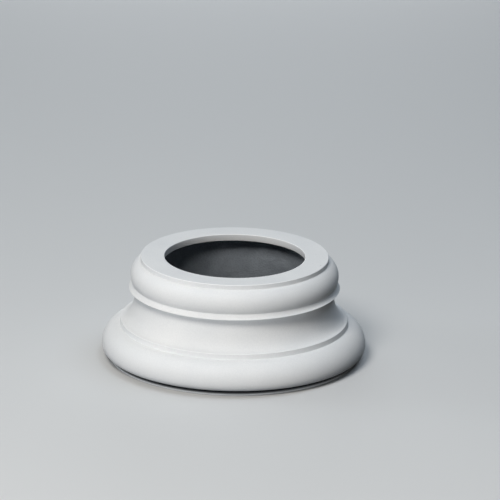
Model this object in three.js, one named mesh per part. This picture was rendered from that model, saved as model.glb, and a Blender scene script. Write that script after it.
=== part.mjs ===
// Round column base: a hollow moulded ring that a column shaft stands on.
// Millimetres, +Z up, standing on z = 0 with the column axis on the Z axis.
import * as THREE from 'three';

const QUARTER = Math.PI / 2;
const DEGREE = Math.PI / 180;

// Overall height and the flat seat for the shaft.
const HEIGHT = 127.3;
const SEAT_R = 115;
const HOLE_R = 86;
const LIP_THICKNESS = 9;
const LIP_FLARE = 0.9;

// Upper fillet: the plain upright band below the seat.
const UPPER_FILLET_HEIGHT = 6;

// Upper torus: widest low down, with a full upper curve and a short lower one.
const UPPER_TORUS_R = 127.4;
const UPPER_TORUS_MID_Z = 102.8;

// Cove: the small hollow under the upper torus, flaring out to a lip that overhangs the scotia.
const COVE_TOP_R = 124.8;
const COVE_TOP_Z = 93.7;
const COVE_LIP_R = 129.7;
const COVE_LIP_Z = 87.5;
const COVE_SWEEP = 54 * DEGREE;

// Scotia: the deep hollow moulding, a quarter of an ellipse.
const SCOTIA_NECK_R = 120.9;
const SCOTIA_NECK_Z = 87.2;

// Lower fillet: the band between the scotia and the lower torus, a little wider at the bottom.
const LOWER_FILLET_TOP_R = 139.2;
const LOWER_FILLET_TOP_Z = 48;
const LOWER_FILLET_BOTTOM_R = 139.9;
const LOWER_FILLET_BOTTOM_Z = 41.1;

// Lower torus: the widest moulding.
const LOWER_TORUS_R = 161.6;
const LOWER_TORUS_MID_Z = 16.4;
const LOWER_TORUS_TUCK = 5.2;

// Foot: a short band set back below the lower torus.
const FOOT_R = 152.7;
const FOOT_HEIGHT = 7.4;

// Hollow inside: upright under its ceiling, flaring downwards in one arc so that a core draws out.
const HOLLOW_TOP_R = 103;
const HOLLOW_CORNER = 5;
const HOLLOW_FOOT_R = 140;
const HOLLOW_FOOT_Z = 12;

// Facets round the ring and along each curve.
const TURNS = 84;
const TORUS_STEPS = 8;
const TUCK_STEPS = 4;
const COVE_STEPS = 4;
const SCOTIA_STEPS = 9;
const HOLLOW_STEPS = 6;
const CORNER_STEPS = 3;

// Points of a circular arc that leaves (startR, startZ) and becomes upright at (endR, endZ).
// It works from above or from below, and swells out or draws in.
function shoulder(startR, startZ, endR, endZ, steps) {
  const swell = endR - startR;
  const drop = startZ - endZ;
  const radius = (swell * swell + drop * drop) / (2 * swell);
  const sweep = Math.asin(drop / radius);
  const points = [];
  for (let i = 1; i <= steps; i += 1) {
    const angle = sweep * (1 - i / steps);
    const r = endR - radius + radius * Math.cos(angle);
    const z = endZ + radius * Math.sin(angle);
    points.push([r, z]);
  }
  return points;
}

// Points of a quarter ellipse that leaves the upright at (wideR, midZ) and tucks in under it.
function underCurve(wideR, midZ, tuck, bottomZ, steps) {
  const points = [];
  for (let i = 1; i <= steps; i += 1) {
    const angle = QUARTER * (i / steps);
    const r = wideR - tuck + tuck * Math.cos(angle);
    const z = midZ - (midZ - bottomZ) * Math.sin(angle);
    points.push([r, z]);
  }
  return points;
}

// Points of a hollow circular arc that flares from (topR, topZ) out to (lipR, lipZ) as it turns by sweep.
function cove(topR, topZ, lipR, lipZ, sweep, steps) {
  const chord = Math.hypot(lipR - topR, topZ - lipZ);
  const radius = chord / (2 * Math.sin(sweep / 2));
  const start = Math.atan2(lipR - topR, topZ - lipZ) - sweep / 2;
  const points = [];
  for (let i = 1; i <= steps; i += 1) {
    const lean = start + sweep * (i / steps);
    const r = topR + radius * (Math.cos(start) - Math.cos(lean));
    const z = topZ - radius * (Math.sin(lean) - Math.sin(start));
    points.push([r, z]);
  }
  return points;
}

// Points of the hollow moulding: upright at the neck, level at the lip of the lower fillet.
function scotia(neckR, neckZ, lipR, lipZ, steps) {
  const points = [];
  for (let i = 0; i <= steps; i += 1) {
    const angle = QUARTER * (i / steps);
    const r = lipR - (lipR - neckR) * Math.cos(angle);
    const z = neckZ - (neckZ - lipZ) * Math.sin(angle);
    points.push([r, z]);
  }
  return points;
}

// Points of the rounded corner where the inside wall turns into the ceiling under the lip.
function ceilingCorner(wallR, topZ, size, steps) {
  const points = [];
  for (let i = 1; i <= steps; i += 1) {
    const angle = QUARTER * (i / steps);
    const r = wallR - size + size * Math.cos(angle);
    const z = topZ - size + size * Math.sin(angle);
    points.push([r, z]);
  }
  return points;
}

const upperFilletBottomZ = HEIGHT - UPPER_FILLET_HEIGHT;
const ceilingZ = HEIGHT - LIP_THICKNESS;
const hollowWallTopZ = ceilingZ - HOLLOW_CORNER;

// Half section of the ring as one closed loop: down the hollow, up the outside and over the seat.
function section() {
  const upperTorus = [UPPER_TORUS_R, UPPER_TORUS_MID_Z];
  const lowerTorus = [LOWER_TORUS_R, LOWER_TORUS_MID_Z];
  const upperTorusFoot = shoulder(COVE_TOP_R, COVE_TOP_Z, ...upperTorus, TUCK_STEPS);
  const outsideDown = [
    [HOLE_R, HEIGHT],
    [SEAT_R, HEIGHT],
    [SEAT_R, upperFilletBottomZ],
    ...shoulder(SEAT_R, upperFilletBottomZ, ...upperTorus, TORUS_STEPS),
    ...upperTorusFoot.slice(0, -1).reverse(),
    [COVE_TOP_R, COVE_TOP_Z],
    ...cove(COVE_TOP_R, COVE_TOP_Z, COVE_LIP_R, COVE_LIP_Z, COVE_SWEEP, COVE_STEPS),
    ...scotia(SCOTIA_NECK_R, SCOTIA_NECK_Z, LOWER_FILLET_TOP_R, LOWER_FILLET_TOP_Z, SCOTIA_STEPS),
    [LOWER_FILLET_BOTTOM_R, LOWER_FILLET_BOTTOM_Z],
    ...shoulder(LOWER_FILLET_BOTTOM_R, LOWER_FILLET_BOTTOM_Z, ...lowerTorus, TORUS_STEPS),
    ...underCurve(...lowerTorus, LOWER_TORUS_TUCK, FOOT_HEIGHT, TUCK_STEPS),
    [FOOT_R, FOOT_HEIGHT],
    [FOOT_R, 0],
  ];
  const insideUp = [
    [HOLLOW_FOOT_R, 0],
    [HOLLOW_FOOT_R, HOLLOW_FOOT_Z],
    ...shoulder(HOLLOW_FOOT_R, HOLLOW_FOOT_Z, HOLLOW_TOP_R, hollowWallTopZ, HOLLOW_STEPS),
    ...ceilingCorner(HOLLOW_TOP_R, ceilingZ, HOLLOW_CORNER, CORNER_STEPS),
    [HOLE_R + LIP_FLARE, ceilingZ],
  ];
  const loop = [...outsideDown, ...insideUp].reverse();
  loop.push(loop[0]);
  return loop.map(([r, z]) => new THREE.Vector2(r, z));
}

function columnBase() {
  const geometry = new THREE.LatheGeometry(section(), TURNS);
  geometry.rotateX(QUARTER);
  const material = new THREE.MeshStandardMaterial({
    color: 0xeceeee,
    roughness: 0.62,
    metalness: 0,
  });
  const mesh = new THREE.Mesh(geometry, material);
  mesh.name = 'column_base';
  return mesh;
}

const part = new THREE.Group();
part.name = 'column_base_part';
part.add(columnBase());

export default part;
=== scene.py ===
# %% [markdown]
# A moulded column base, dressed for a close look.
# The real object is a ring that a round column shaft stands on. It is moulded in rigid polyurethane
# foam, primed a matt white, and hollow inside so that a post can pass up through it.
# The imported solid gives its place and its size. This lesson turns a finer ring over the same section,
# with softened arrises and a painted finish, and lights it as a small studio picture.

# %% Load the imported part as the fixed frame
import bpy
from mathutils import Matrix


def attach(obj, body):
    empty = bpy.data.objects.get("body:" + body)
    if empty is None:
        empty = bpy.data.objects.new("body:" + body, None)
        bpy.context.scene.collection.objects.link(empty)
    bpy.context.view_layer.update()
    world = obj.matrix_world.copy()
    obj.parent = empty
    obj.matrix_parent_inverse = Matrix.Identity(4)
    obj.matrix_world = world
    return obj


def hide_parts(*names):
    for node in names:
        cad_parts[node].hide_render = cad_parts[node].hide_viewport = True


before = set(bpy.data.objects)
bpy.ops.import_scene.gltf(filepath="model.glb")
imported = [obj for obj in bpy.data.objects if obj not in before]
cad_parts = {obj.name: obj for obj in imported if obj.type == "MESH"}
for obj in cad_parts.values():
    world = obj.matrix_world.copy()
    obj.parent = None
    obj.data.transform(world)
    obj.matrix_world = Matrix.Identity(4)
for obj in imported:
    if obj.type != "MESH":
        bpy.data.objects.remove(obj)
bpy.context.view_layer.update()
MM = 0.001
print("packed nodes:", sorted(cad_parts))

# %% [markdown]
# The camera comes first, so that every later step can be compared with the picture.
# A long lens stands far off and looks down about 18 degrees, which keeps the ellipses of the ring
# nearly alike. It could be aimed with a constraint, but a turn worked out from yaw, pitch and roll
# stays as it is when the scene is opened elsewhere.

# %% Set up the long lens
import math
import bpy
from mathutils import Quaternion, Vector

base_middle = Vector((0, 0, 0.06))
camera_place = Vector((0.0, -5.8107, 2.0159))
camera_yaw = math.radians(0.182)
camera_pitch = math.radians(17.938)
camera_roll = math.radians(0.71)

bpy.ops.object.select_all(action="DESELECT")
bpy.ops.object.camera_add(location=camera_place)
camera = bpy.context.object
camera.name = "studio_camera"
level = math.cos(camera_pitch)
view_line = Vector((math.sin(camera_yaw) * level, math.cos(camera_yaw) * level, -math.sin(camera_pitch)))
aim = view_line.to_track_quat("-Z", "Y") @ Quaternion((0, 0, 1), camera_roll)
camera.rotation_euler = aim.to_euler()
camera.data.lens = 360
camera.data.sensor_width = 36
bpy.context.scene.camera = camera
print("camera", round((camera_place - base_middle).length, 2), "m from the base")

# %% [markdown]
# The section of the ring, in millimetres, from the seat down to the foot and back up inside.
# A base of this pattern is drawn from a few plain bands, called fillets, two swelling tori, a small
# cove that flares out under the upper one, and a deep hollow scotia. The bands are straight lines. The
# curves are arcs and quarter ellipses, so each is worked out from its ends and needn't be traced.

# %% Sizes of the seat, bands and curves
# A pair is a radius and a height.
base_height = 127.3
seat_radius = 115.0
hole_radius = 86.0
lip_thickness = 9.0
lip_flare = 0.9
upper_fillet_height = 6.0
upper_torus = (127.4, 102.8)
cove_top = (124.8, 93.7)
cove_lip = (129.7, 87.5)
cove_sweep = math.radians(54)
scotia_neck = (120.9, 87.2)
lower_fillet_top = (139.2, 48.0)
lower_fillet_foot = (139.9, 41.1)
lower_torus = (161.6, 16.4)
lower_tuck = 5.2
foot_radius = 152.7
foot_height = 7.4
hollow_top_radius = 103.0
hollow_corner = 5.0
hollow_foot = (140.0, 12.0)

upper_fillet_foot = base_height - upper_fillet_height
lip_underside = base_height - lip_thickness
hollow_top = (hollow_top_radius, lip_underside - hollow_corner)
print("wall at the foot:", round(foot_radius - hollow_foot[0], 1), "mm")

# %% Curves that swell out or draw in
step_length = 1.6
fewest_steps = 2


def steps_for(length):
    """How many short steps a run of this length takes."""
    return max(fewest_steps, round(length / step_length))


def shoulder(start, end):
    """An arc from the start, which is left out, to an end where it is upright."""
    swell = end[0] - start[0]
    drop = start[1] - end[1]
    radius = (swell ** 2 + drop ** 2) / (2 * swell)
    sweep = math.asin(drop / radius)
    count = steps_for(abs(radius * sweep))
    angles = [sweep * (1 - i / count) for i in range(1, count + 1)]
    return [(end[0] - radius + radius * math.cos(a), end[1] + radius * math.sin(a)) for a in angles]


print("the lower torus takes", len(shoulder(lower_fillet_foot, lower_torus)), "steps")

# %% Hollow curves and straight bands
# A quarter of an ellipse is taken to be this many times as long as its longer reach.
quarter_length = 1.2


def cove_flare(top, lip, sweep):
    """A hollow arc that flares from the top out to the lip, the first point left out."""
    chord = math.dist(top, lip)
    radius = chord / (2 * math.sin(sweep / 2))
    start = math.atan2(lip[0] - top[0], top[1] - lip[1]) - sweep / 2
    count = steps_for(chord)
    leans = [start + sweep * i / count for i in range(1, count + 1)]
    return [(top[0] + radius * (math.cos(start) - math.cos(a)),
             top[1] - radius * (math.sin(a) - math.sin(start))) for a in leans]


def quarter_ellipse(centre, reach, first, last):
    """Points of an ellipse between two angles in degrees, the first point left out."""
    count = steps_for(max(map(abs, reach)) * quarter_length)
    angles = [math.radians(first + (last - first) * i / count) for i in range(1, count + 1)]
    return [(centre[0] + reach[0] * math.cos(a), centre[1] + reach[1] * math.sin(a)) for a in angles]


def straight_run(start, end, stride=2):
    """Points along a straight band, this many steps apart, the first point left out."""
    count = steps_for(math.dist(start, end) / stride)
    return [(start[0] + (end[0] - start[0]) * i / count, start[1] + (end[1] - start[1]) * i / count)
            for i in range(1, count + 1)]


print("the cove takes", len(cove_flare(cove_top, cove_lip, cove_sweep)), "steps")

# %% The outside of the section, from the hole down to the foot
scotia_centre = (lower_fillet_top[0], scotia_neck[1])
scotia_reach = (lower_fillet_top[0] - scotia_neck[0], scotia_neck[1] - lower_fillet_top[1])
tuck_centre = (lower_torus[0] - lower_tuck, lower_torus[1])
tuck_reach = (lower_tuck, lower_torus[1] - foot_height)

outside = [(hole_radius, base_height), (seat_radius, base_height), (seat_radius, upper_fillet_foot)]
outside += shoulder(outside[-1], upper_torus)
outside += shoulder(cove_top, upper_torus)[-2::-1] + [cove_top]
outside += cove_flare(cove_top, cove_lip, cove_sweep) + [scotia_neck]
outside += quarter_ellipse(scotia_centre, scotia_reach, first=180, last=270) + [lower_fillet_foot]
outside += shoulder(lower_fillet_foot, lower_torus)
outside += quarter_ellipse(tuck_centre, tuck_reach, first=0, last=-90) + [(foot_radius, foot_height)]
outside += straight_run(outside[-1], (foot_radius, 0.0), stride=1)
print("outside of the section:", len(outside), "points")

# %% The inside of the section, from the foot up to the hole
lip_edge = (hole_radius + lip_flare, lip_underside)
corner_centre = (hollow_top[0] - hollow_corner, hollow_top[1])

inside = [(hollow_foot[0], 0.0)]
inside += straight_run(inside[-1], hollow_foot)
inside += shoulder(hollow_foot, hollow_top)
inside += quarter_ellipse(corner_centre, (hollow_corner, hollow_corner), first=0, last=90)
inside += straight_run(inside[-1], lip_edge)
print("inside of the section:", len(inside), "points")

# %% [markdown]
# The ring itself. A turner would run a profile round a centre, and Blender's Spin does the same.
# A small plane is added at the edge of the hole, merged to one vertex, and that vertex is extruded
# from point to point until the section closes. A Screw modifier would also do, but Spin in edit mode
# leaves a plain mesh whose section can be softened first.

# %% Draw the section in edit mode
section_weld = 0.01 * MM

bpy.ops.object.select_all(action="DESELECT")
bpy.ops.mesh.primitive_plane_add(size=MM, location=(hole_radius * MM, 0, base_height * MM))
ring = bpy.context.object
ring.name = "moulded_ring"
ring.data.name = "moulded_ring"
bpy.ops.object.transform_apply(location=True, rotation=True, scale=True)
bpy.ops.object.mode_set(mode="EDIT")
bpy.ops.mesh.select_mode(type="VERT")
bpy.ops.mesh.select_all(action="SELECT")
bpy.ops.mesh.merge(type="CENTER")
section = outside + inside + outside[:1]
for here, there in zip(section, section[1:]):
    pull = ((there[0] - here[0]) * MM, 0, (there[1] - here[1]) * MM)
    bpy.ops.mesh.extrude_region_move(TRANSFORM_OT_translate={"value": pull})
bpy.ops.mesh.select_all(action="SELECT")
bpy.ops.mesh.remove_doubles(threshold=section_weld)
print("section drawn with", len(section) - 1, "points")

# %% [markdown]
# No moulded edge is knife sharp: the mould's own corners and a coat of primer round it to about a
# millimetre, and that small curve is what catches the light. The section's corners are picked by place
# and bevelled as vertices, before the spin, so each one becomes a clean round on the whole ring.

# %% Soften the arrises and the inner corners
import bmesh

arrises = [(hole_radius, base_height), (seat_radius, base_height), cove_lip, lower_fillet_top,
           (foot_radius, 0.0), lip_edge]
quirks = [(seat_radius, upper_fillet_foot), cove_top, scotia_neck, lower_fillet_foot,
          (foot_radius, foot_height)]
arris_round = 1.1
quirk_round = 0.6
same_place = 0.05


def round_corners(corners, size, segments):
    """Bevels the section's vertices at these corners to rounds of this size."""
    shape = bmesh.from_edit_mesh(ring.data)
    picked = 0
    for vertex in shape.verts:
        spot = (vertex.co.x / MM, vertex.co.z / MM)
        vertex.select = any(math.dist(spot, corner) < same_place for corner in corners)
        picked += vertex.select
    shape.select_flush_mode()
    bmesh.update_edit_mesh(ring.data)
    bpy.ops.mesh.bevel(offset=size * MM, segments=segments, affect="VERTICES", clamp_overlap=True)
    return picked


print("arrises softened:", round_corners(arrises, arris_round, segments=4))
print("inner corners softened:", round_corners(quirks, quirk_round, segments=3))

# %% Spin the section into a ring
turns = 288
ring_weld = 0.02 * MM

bpy.ops.mesh.select_all(action="SELECT")
bpy.ops.mesh.spin(steps=turns, angle=2 * math.pi, center=(0, 0, 0), axis=(0, 0, 1))
bpy.ops.mesh.select_all(action="SELECT")
bpy.ops.mesh.remove_doubles(threshold=ring_weld)
bpy.ops.mesh.normals_make_consistent(inside=False)
bpy.ops.object.mode_set(mode="OBJECT")
print("ring has", len(ring.data.vertices), "vertices and", len(ring.data.polygons), "faces")

# %% [markdown]
# Where each finish lies. The primer was sprayed from above and from outside, so it covers all that shows
# of the mouldings, thins out under the lip of the hole, and misses the hollow and the underside, where
# the foam stays bare. The undercut above the foot is painted near black, as painted shade. Three numbers
# on every vertex, called attributes, carry this to the material: how bare the foam is, how much painted
# shade there is, and how near an arris it is. They could be painted by hand, but worked out from the
# section they are the same all round.

# %% Find the wall of the hollow
wall_reach = 1.0
level_slack = 0.01


def hollow_radius(z):
    """Radius of the inside wall at this height, or zero above the ceiling of the hollow."""
    for (low_radius, low), (high_radius, high) in zip(inside, inside[1:]):
        if z <= high + level_slack:
            return low_radius + (high_radius - low_radius) * (z - low) / (high - low)
    return 0.0


def on_hollow_wall(r, z):
    """Whether a place on the ring belongs to the inside wall, or to the ceiling under the lip."""
    return r < hollow_radius(z) + wall_reach


print("hollow at half its height:", round(2 * hollow_radius(lip_underside / 2), 1), "mm across")

# %% Measure each vertex against the section
overspray = 7.0
underside_top = 0.1
# The undercut above the foot gets painted shade: none below the first height of the rise, full above the
# second, none more than a millimetre above the foot or further out than the inset under the lower torus.
painted_shade_rise = (1.4, 3.3)
painted_shade_top = foot_height + 1.0
undercut_inset = 3.4
undercut_radius = lower_torus[0] - undercut_inset


def bareness(r, z):
    """1 where bare foam shows, 0 where primer covers it, and between them where the coat thins out."""
    if on_hollow_wall(r, z):
        return min(1.0, math.dist((r, z), lip_edge) / overspray)
    return 1.0 if z < underside_top else 0.0


def undercut_shade_share(r, z):
    """1 deep under the lower torus, where shade is painted, falling to 0 on the low band of the foot."""
    if on_hollow_wall(r, z) or r > undercut_radius or z > painted_shade_top:
        return 0.0
    return min(1.0, max(0.0, (z - painted_shade_rise[0]) / (painted_shade_rise[1] - painted_shade_rise[0])))


def arris_nearness(r, z):
    """1 on a sharp corner of the section, falling to 0 where its round ends."""
    return max(0.0, 1.0 - min(math.dist((r, z), corner) for corner in arrises) / arris_round)


spots = [(math.hypot(v.co.x, v.co.y) / MM, v.co.z / MM) for v in ring.data.vertices]
for name, measure in (("bare_foam", bareness), ("painted_undercut_shade", undercut_shade_share), ("arris", arris_nearness)):
    attribute = ring.data.attributes.new(name, "FLOAT", "POINT")
    attribute.data.foreach_set("value", [measure(r, z) for r, z in spots])
    print(name, "is above a half on", sum(entry.value > 0.5 for entry in attribute.data), "vertices")

# %% [markdown]
# Bare foam isn't as true as the primed face. The wall of the hollow swells and sinks a little between
# the places where the core pressed harder, so a Displace modifier with a cloudy texture moves it by a
# few tenths of a millimetre. A vertex group keeps the foot, the lip and all the outside still.

# %% Give the hollow its uneven foam wall
swell_depth = 0.9 * MM
swell_width = 14 * MM
still_edge = 1.0

wall_group = ring.vertex_groups.new(name="hollow_wall")
wall = [i for i, (r, z) in enumerate(spots)
        if still_edge < z < lip_underside - still_edge and on_hollow_wall(r, z)]
wall_group.add(wall, 1.0, "REPLACE")
swells = bpy.data.textures.new("foam_swells", "CLOUDS")
swells.noise_scale = swell_width
swells.noise_depth = 2
uneven = ring.modifiers.new("foam_swells", "DISPLACE")
uneven.texture = swells
uneven.texture_coords = "LOCAL"
uneven.vertex_group = wall_group.name
uneven.strength = swell_depth
uneven.mid_level = 0.5
bpy.ops.object.modifier_apply(modifier=uneven.name)
print("hollow wall:", len(wall), "vertices moved by up to", round(swell_depth / 2 / MM, 2), "mm")

# %% Finish the ring and hand it to the frame
smooth_angle = math.radians(50)

bpy.ops.object.shade_smooth_by_angle(angle=smooth_angle)
weighting = ring.modifiers.new("flat_bands", "WEIGHTED_NORMAL")
weighting.keep_sharp = True
bpy.ops.object.modifier_apply(modifier=weighting.name)
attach(ring, "root")
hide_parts("column_base")
print("ring stands", round(ring.dimensions.z / MM, 1), "mm high")
print("and is", round(ring.dimensions.x / MM, 1), "mm across")

# %% [markdown]
# The finish. Colours are given as the sRGB hex values that a paint chart would show, and one function
# turns them into the linear values that a shader needs. A second small function adds any node with its
# settings and links, so that each material reads as a short list.

# %% Helpers for colours and nodes
thin_coat_colour = "#E8EAEA"
full_coat_colour = "#EFF0EF"


def linear(hex_colour):
    """Linear RGBA of an sRGB hex colour, by the sRGB standard's own numbers."""
    parts = [int(hex_colour[i:i + 2], 16) / 255 for i in (1, 3, 5)]
    return (*[p / 12.92 if p <= 0.04045 else ((p + 0.055) / 1.055) ** 2.4 for p in parts], 1.0)


def add_node(tree, kind, settings=None, values=None, links=None):
    """Adds one shader node, sets its options and values, and links outputs into it."""
    new = tree.nodes.new(kind)
    for name, value in (settings or {}).items():
        setattr(new, name, value)
    for socket, value in (values or {}).items():
        new.inputs[socket].default_value = value
    for socket, source in (links or {}).items():
        tree.links.new(source, new.inputs[socket])
    return new


def new_material(name):
    """An empty node material with its output node."""
    material = bpy.data.materials.new(name)
    material.use_nodes = True
    material.node_tree.nodes.clear()
    return material, material.node_tree, material.node_tree.nodes.new("ShaderNodeOutputMaterial")


def per_metre(size):
    """Texture scale that gives a pattern of about this size in millimetres."""
    return 1.0 / (size * MM)


print("primer white in linear light:", [round(c, 3) for c in linear(full_coat_colour)[:3]])

# %% [markdown]
# Primed polyurethane foam: a dense moulded skin under a sprayed matt primer. To the eye it is an even,
# slightly cool white with a very faint cloudiness from uneven spraying, a fine stipple that hardly shows
# except where light skims it, and thin pale arrises. Their paleness is a painted highlight, and handling
# has rubbed the coat there a little smoother.
# Patterns read Object coordinates, so they stay on the ring and come out the same in any file.

# %% Where each finish starts and ends
primed, tree, output = new_material("primed_polyurethane_foam")
place = add_node(tree, "ShaderNodeTexCoord").outputs["Object"]
bare = add_node(tree, "ShaderNodeAttribute", {"attribute_name": "bare_foam"}).outputs["Fac"]
# This attribute marks the undercut above the foot, where dark shade is painted into the colour.
painted_undercut_shade = add_node(tree, "ShaderNodeAttribute", {"attribute_name": "painted_undercut_shade"}).outputs["Fac"]
arris = add_node(tree, "ShaderNodeAttribute", {"attribute_name": "arris"}).outputs["Fac"]

# The edge of the spray is broken up by drops a few millimetres wide, which shift it in and out by half
# the raggedness. A Math node's sockets go by place: here the drops, the swing and the shift.
drop_size = 4
raggedness = 0.5
spray_drops = add_node(tree, "ShaderNodeTexNoise", values={"Scale": per_metre(drop_size), "Detail": 4.0},
                       links={"Vector": place})
ragged = add_node(tree, "ShaderNodeMath", {"operation": "MULTIPLY_ADD"},
                  {1: raggedness, 2: -raggedness / 2}, {0: spray_drops.outputs["Fac"]})
edge = add_node(tree, "ShaderNodeMath", {"operation": "ADD"}, links={0: bare, 1: ragged.outputs[0]})
bare_mask = add_node(tree, "ShaderNodeMapRange", {"interpolation_type": "SMOOTHSTEP"},
                     {"From Min": 0.3, "From Max": 0.7}, {"Value": edge.outputs[0]}).outputs["Result"]
# Near each arris the coat is painted a shade lighter, as a painted highlight, and its roughness drops a
# little.
arris_highlight_and_gloss = add_node(tree, "ShaderNodeMapRange", values={"From Min": 0.1, "From Max": 0.6},
                  links={"Value": arris}).outputs["Result"]
print("masks use", len(tree.nodes), "nodes")

# %% Primer colour
# Clouds of about 60 mm, as a spray gun leaves them, a fine stipple whose hollows hold a little dust, and
# an arris that is a shade lighter, as a painted highlight. Real stipple is about 0.3 mm, drawn here at
# 1.8 mm so it shows.
cloud_size = 60
stipple_size = 1.8
dust_colour = "#D8DADB"
arris_highlight_colour = "#F7F8F8"

# A Mix node's sockets go by place, because their names repeat for each kind of data.
SHARE = 0
COLOUR_A, COLOUR_B, COLOUR_OUT = 6, 7, 2

clouds = add_node(tree, "ShaderNodeTexNoise", values={"Scale": per_metre(cloud_size), "Detail": 3.0},
                  links={"Vector": place})
cloud_tone = add_node(tree, "ShaderNodeMapRange", values={"From Min": 0.3, "From Max": 0.7},
                      links={"Value": clouds.outputs["Fac"]})
coat = add_node(tree, "ShaderNodeMix", {"data_type": "RGBA"},
                {COLOUR_A: linear(thin_coat_colour), COLOUR_B: linear(full_coat_colour)},
                {SHARE: cloud_tone.outputs["Result"]})
stipple = add_node(tree, "ShaderNodeTexNoise", values={"Scale": per_metre(stipple_size), "Detail": 3.0},
                   links={"Vector": place})
dust_tone = add_node(tree, "ShaderNodeMapRange",
                     values={"From Min": 0.6, "From Max": 0.35, "To Max": 0.18},
                     links={"Value": stipple.outputs["Fac"]})
dusty_coat = add_node(tree, "ShaderNodeMix", {"data_type": "RGBA"}, {COLOUR_B: linear(dust_colour)},
                      {SHARE: dust_tone.outputs["Result"], COLOUR_A: coat.outputs[COLOUR_OUT]})
coat_and_highlight = add_node(tree, "ShaderNodeMix", {"data_type": "RGBA"}, {COLOUR_B: linear(arris_highlight_colour)},
                          {SHARE: arris_highlight_and_gloss, COLOUR_A: dusty_coat.outputs[COLOUR_OUT]})
print("primer colour brings it to", len(tree.nodes), "nodes")

# %% Speck of dirt on the seat
# There is one, a millimetre or two wide. Its reach is where it is full and where it ends.
speck_place = Vector((104.4, -35.1, base_height)) * MM
speck_reach = (0.4 * MM, 1.1 * MM)
speck_colour = "#8E8A84"

speck_distance = add_node(tree, "ShaderNodeVectorMath", {"operation": "DISTANCE"}, {1: speck_place},
                          {0: place})
speck = add_node(tree, "ShaderNodeMapRange",
                 values={"From Min": speck_reach[1], "From Max": speck_reach[0], "To Max": 0.5},
                 links={"Value": speck_distance.outputs["Value"]})
white = add_node(tree, "ShaderNodeMix", {"data_type": "RGBA"}, {COLOUR_B: linear(speck_colour)},
                 {SHARE: speck.outputs["Result"], COLOUR_A: coat_and_highlight.outputs[COLOUR_OUT]})
print("the speck brings it to", len(tree.nodes), "nodes")

# %% [markdown]
# Bare foam: where the primer never reached, cut and torn cells show. To the eye that is a dull grey
# that takes light badly, mottled over a few centimetres and pitted by the cells.
# Real cells are a few tenths of a millimetre, so here they are drawn at 2 mm to show at all.

# %% Foam colour and pits
cell_size = 2
mottle_size = 25
dark_foam_colour = "#9199A1"
pale_foam_colour = "#ACB4BC"
pit_colour = "#6E7378"

cells = add_node(tree, "ShaderNodeTexVoronoi", {"feature": "F1"},
                 {"Scale": per_metre(cell_size), "Randomness": 1.0}, {"Vector": place})
mottle = add_node(tree, "ShaderNodeTexNoise", values={"Scale": per_metre(mottle_size), "Detail": 5.0},
                  links={"Vector": place})
mottle_tone = add_node(tree, "ShaderNodeMapRange", values={"From Min": 0.3, "From Max": 0.7},
                       links={"Value": mottle.outputs["Fac"]})
foam_body = add_node(tree, "ShaderNodeMix", {"data_type": "RGBA"},
                     {COLOUR_A: linear(dark_foam_colour), COLOUR_B: linear(pale_foam_colour)},
                     {SHARE: mottle_tone.outputs["Result"]})
pit_tone = add_node(tree, "ShaderNodeMapRange",
                    values={"From Min": 0.0, "From Max": 0.6, "To Min": 0.35, "To Max": 0.0},
                    links={"Value": cells.outputs["Distance"]})
foam = add_node(tree, "ShaderNodeMix", {"data_type": "RGBA"}, {COLOUR_B: linear(pit_colour)},
                {SHARE: pit_tone.outputs["Result"], COLOUR_A: foam_body.outputs[COLOUR_OUT]})
print("foam brings it to", len(tree.nodes), "nodes")

# %% Relief
# The stipple is very shallow, so that only skimming light finds it. The pits of the foam are deeper.
stipple_depth = 0.06 * MM
pit_depth = 0.5 * MM
VECTOR_A, VECTOR_B, VECTOR_OUT = 4, 5, 1

stipple_bump = add_node(tree, "ShaderNodeBump", values={"Strength": 0.12, "Distance": stipple_depth},
                        links={"Height": stipple.outputs["Fac"]})
pit_bump = add_node(tree, "ShaderNodeBump", values={"Strength": 0.7, "Distance": pit_depth},
                    links={"Height": cells.outputs["Distance"]})
relief = add_node(tree, "ShaderNodeMix", {"data_type": "VECTOR"},
                  links={SHARE: bare_mask, VECTOR_A: stipple_bump.outputs["Normal"],
                         VECTOR_B: pit_bump.outputs["Normal"]})
print("relief brings it to", len(tree.nodes), "nodes")

# %% Gloss
# The primer is matt, a little smoother on rubbed arrises. The foam is duller, and the painted shade in
# the undercut is dullest.
coat_roughness = (0.55, 0.65)
arris_roughness = 0.45
foam_roughness = 0.95
undercut_roughness = 1.0
VALUE_A, VALUE_B, VALUE_OUT = 2, 3, 0

coat_gloss = add_node(tree, "ShaderNodeMapRange",
                      values={"To Min": coat_roughness[0], "To Max": coat_roughness[1]},
                      links={"Value": clouds.outputs["Fac"]})
arris_gloss = add_node(tree, "ShaderNodeMix", {"data_type": "FLOAT"}, {VALUE_B: arris_roughness},
                       {SHARE: arris_highlight_and_gloss, VALUE_A: coat_gloss.outputs["Result"]})
foam_gloss = add_node(tree, "ShaderNodeMix", {"data_type": "FLOAT"}, {VALUE_B: foam_roughness},
                      {SHARE: bare_mask, VALUE_A: arris_gloss.outputs[VALUE_OUT]})
undercut_gloss = add_node(tree, "ShaderNodeMix", {"data_type": "FLOAT"}, {VALUE_B: undercut_roughness},
                      {SHARE: painted_undercut_shade, VALUE_A: foam_gloss.outputs[VALUE_OUT]})
print("gloss brings it to", len(tree.nodes), "nodes")

# %% Put the finish together
# A primer's binder has an IOR of about 1.48, and its powdery face shines less than a smooth one would.
# The undercut above the foot is painted near black here, as painted shade over the coat and the foam.
painted_shade_colour = "#14161A"

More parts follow.
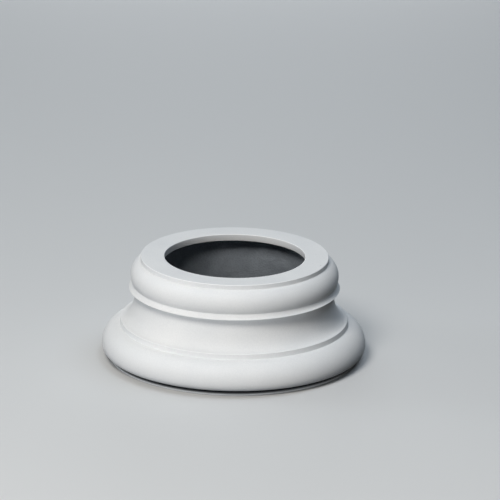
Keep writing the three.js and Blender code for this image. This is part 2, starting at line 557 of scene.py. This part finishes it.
coat_or_foam = add_node(tree, "ShaderNodeMix", {"data_type": "RGBA"},
                        links={SHARE: bare_mask, COLOUR_A: white.outputs[COLOUR_OUT],
                               COLOUR_B: foam.outputs[COLOUR_OUT]})
with_painted_shade = add_node(tree, "ShaderNodeMix", {"data_type": "RGBA"}, {COLOUR_B: linear(painted_shade_colour)},
                 {SHARE: painted_undercut_shade, COLOUR_A: coat_or_foam.outputs[COLOUR_OUT]})
surface = add_node(tree, "ShaderNodeBsdfPrincipled", values={"IOR": 1.48, "Specular IOR Level": 0.25},
                   links={"Base Color": with_painted_shade.outputs[COLOUR_OUT],
                          "Roughness": undercut_gloss.outputs[VALUE_OUT],
                          "Normal": relief.outputs[VECTOR_OUT]})
tree.links.new(surface.outputs["BSDF"], output.inputs["Surface"])
ring.data.materials.append(primed)
print("the whole finish has", len(tree.nodes), "nodes")

# %% [markdown]
# The studio: a plain pale floor that runs out of the picture on every side, and six soft lights.
# A large softbox high at the front left is the key, and it draws the shade under each moulding. Low
# strips just above the floor, in front and behind, lighten the upright faces and reach only a little way
# into the hole. Cooler boxes at the left, right and back open the shadows. Bounced light would fill the
# crease above the foot and flatten the far side, so the floor takes shadows but throws no light back up.

# %% Floor
floor_side = 12.0
floor_colour = "#DBDCDB"

bpy.ops.object.select_all(action="DESELECT")
bpy.ops.mesh.primitive_plane_add(size=floor_side, location=(0, 0, 0))
floor = bpy.context.object
floor.name = "studio_floor"
floor_paint, floor_tree, floor_output = new_material("pale_painted_floor")
floor_surface = add_node(floor_tree, "ShaderNodeBsdfPrincipled",
                         values={"Base Color": linear(floor_colour), "Roughness": 0.8})
floor_tree.links.new(floor_surface.outputs["BSDF"], floor_output.inputs["Surface"])
floor.data.materials.append(floor_paint)
floor.visible_diffuse = False
floor.visible_shadow = False
print("floor", floor_side, "m square")

# %% Lights
# Name, azimuth and height in degrees, distance in metres, sides in metres, power in watts and colour.
# Azimuth 0 is straight in front, and it grows towards the right.
softboxes = [
    ("key_softbox", -24, 49, 3.0, (1.1, 1.1), 53.5, "#FFFBF7"),
    ("front_strip", -20, 2.0, 3.0, (1.2, 0.3), 30.0, "#F7FAFF"),
    ("back_strip", 180, 2.0, 3.0, (1.2, 0.3), 22.0, "#F7FAFF"),
    ("left_softbox", -100, 10, 3.0, (0.9, 0.9), 15.0, "#F4F9FF"),
    ("right_softbox", 106, 68, 3.0, (2.0, 2.0), 28.0, "#E2F0FF"),
    ("back_softbox", -145, 48, 3.0, (1.6, 1.6), 9.0, "#EEF9FF"),
]
for name, azimuth, height, distance, sides, power, tint in softboxes:
    turn = math.radians(azimuth)
    lift = math.radians(height)
    away = Vector((math.sin(turn) * math.cos(lift), -math.cos(turn) * math.cos(lift), math.sin(lift)))
    bpy.ops.object.light_add(type="AREA", location=base_middle + away * distance)
    lamp = bpy.context.object
    lamp.name = name
    lamp.data.shape = "RECTANGLE"
    lamp.data.size, lamp.data.size_y = sides
    lamp.data.energy = power
    lamp.data.color = linear(tint)[:3]
    lamp.visible_camera = False
    lamp.rotation_euler = away.to_track_quat("Z", "Y").to_euler()
print("softboxes:", len(softboxes))

# %% Surround
surround_colour = "#C9CED4"
surround_strength = 0.02

world = bpy.data.worlds.new("studio_surround")
world.use_nodes = True
bpy.context.scene.world = world
surround = world.node_tree.nodes["Background"]
surround.inputs["Color"].default_value = linear(surround_colour)
surround.inputs["Strength"].default_value = surround_strength
bpy.context.scene.view_settings.view_transform = "Standard"
print("surround strength", surround_strength)
